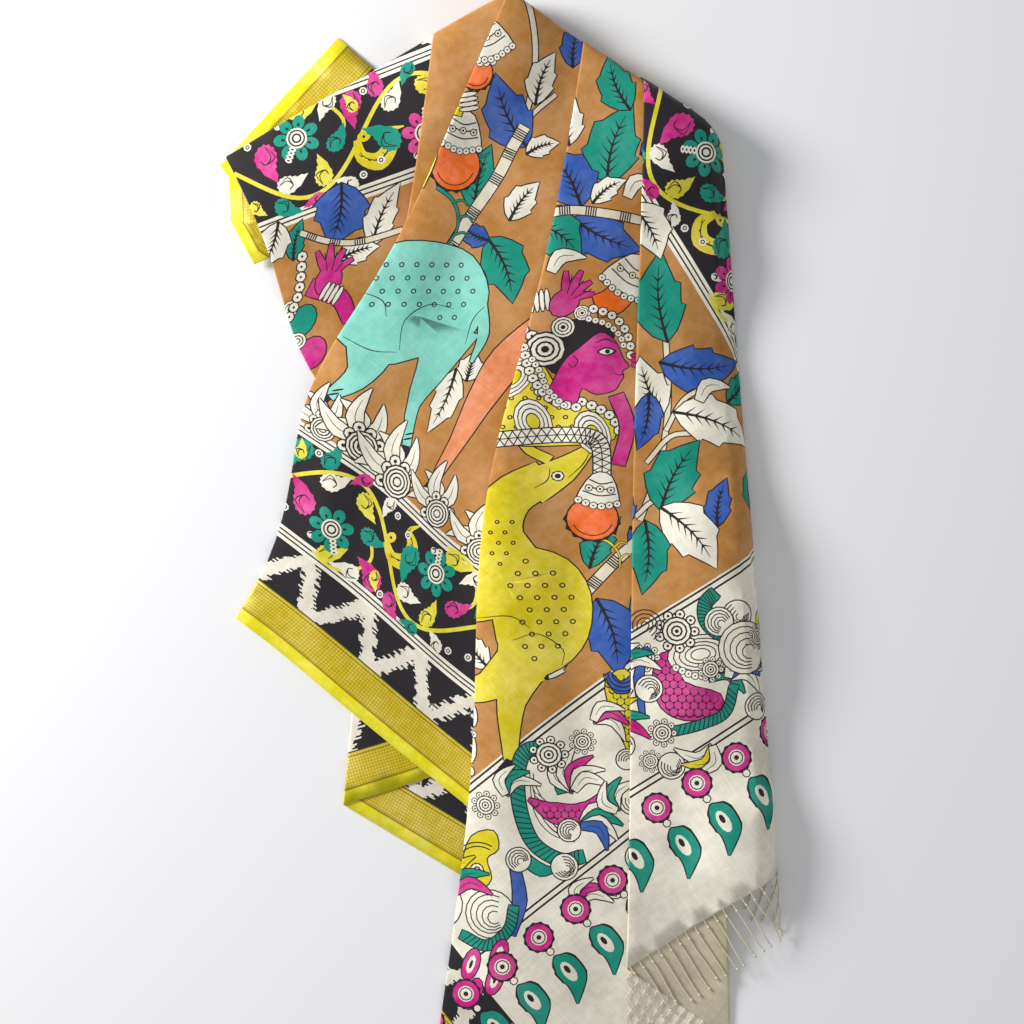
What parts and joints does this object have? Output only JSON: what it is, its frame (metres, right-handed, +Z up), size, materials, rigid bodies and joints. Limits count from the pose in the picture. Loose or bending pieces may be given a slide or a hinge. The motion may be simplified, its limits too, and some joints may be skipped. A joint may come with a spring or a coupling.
{
  "type": "folded kalamkari stole",
  "caption": "Long printed cloth panel laid in knife pleats, its shoulder end turned under and its other end fringed.",
  "frame": {"origin": "middle of the laid cloth's outline, on the surface that it rests on", "axes": "+Y along the pleats towards the shoulder fold, +X towards the pleats' right edge, +Z up"},
  "size_m": [0.569, 1.2663, 0.0536],
  "materials": {
    "printed_cloth": "matte woven silk and cotton, printed and dyed",
    "undyed_yarn": "matte undyed yarn, twisted and knotted"
  },
  "bodies": {
    "root": {"stole_cloth": "printed_cloth", "fringe": "undyed_yarn"}
  },
  "joints": []
}
